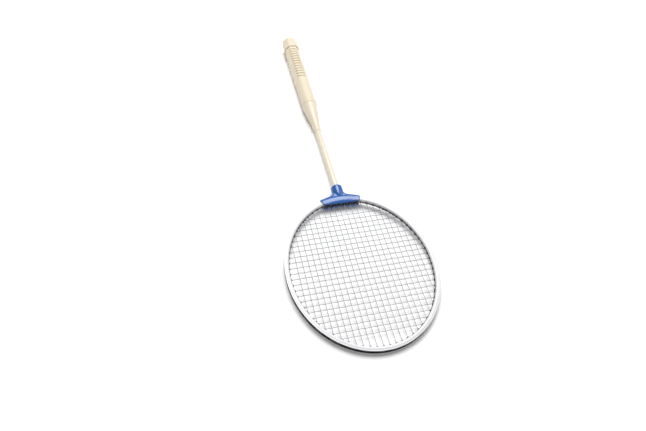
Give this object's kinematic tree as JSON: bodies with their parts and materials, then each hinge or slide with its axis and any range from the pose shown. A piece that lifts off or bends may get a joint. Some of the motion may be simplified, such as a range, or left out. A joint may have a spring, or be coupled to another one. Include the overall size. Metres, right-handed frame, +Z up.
{
  "type": "badminton racket",
  "caption": "Badminton racket with an oval white hoop, woven strings, coloured moulded throat piece, tube shaft and moulded grooved grip with a butt cap.",
  "frame": {"origin": "centre of the butt cap's end face", "axes": "+Y along the racket from the butt to the tip of the head, +Z up out of the string bed, +X across"},
  "size_m": [0.219, 0.66, 0.0294],
  "materials": {
    "hoop_paint": "gloss white paint on aluminium",
    "joiner_alloy": "mill finish",
    "grommet_nylon": "moulded black nylon",
    "yoke_plastic": "glossy moulded blue plastic",
    "string_nylon": "pale nylon string",
    "shaft_paint": "cream lacquer on steel tube",
    "grip_plastic": "cream moulded plastic, satin",
    "core_wood": "plain turned softwood",
    "pin_steel": "plain steel pin",
    "badge_plastic": "blank beige plate"
  },
  "bodies": {
    "root": {"head_frame": "hoop_paint", "frame_joiner": "joiner_alloy", "grommet_strip_tip": "grommet_nylon", "grommet_strip_right": "grommet_nylon", "grommet_strip_left": "grommet_nylon", "grommet_strip_throat": "grommet_nylon", "throat_insert": "grommet_nylon", "throat_yoke": "yoke_plastic", "main_string": "string_nylon", "cross_string": "string_nylon", "string_knots": "string_nylon", "shaft": "shaft_paint", "handle_cone": "grip_plastic", "handle_ring": "grip_plastic", "grip_sleeve": "grip_plastic", "handle_core": "core_wood", "core_pin": "pin_steel", "butt_cap": "grip_plastic", "butt_badges": "badge_plastic"}
  },
  "joints": []
}
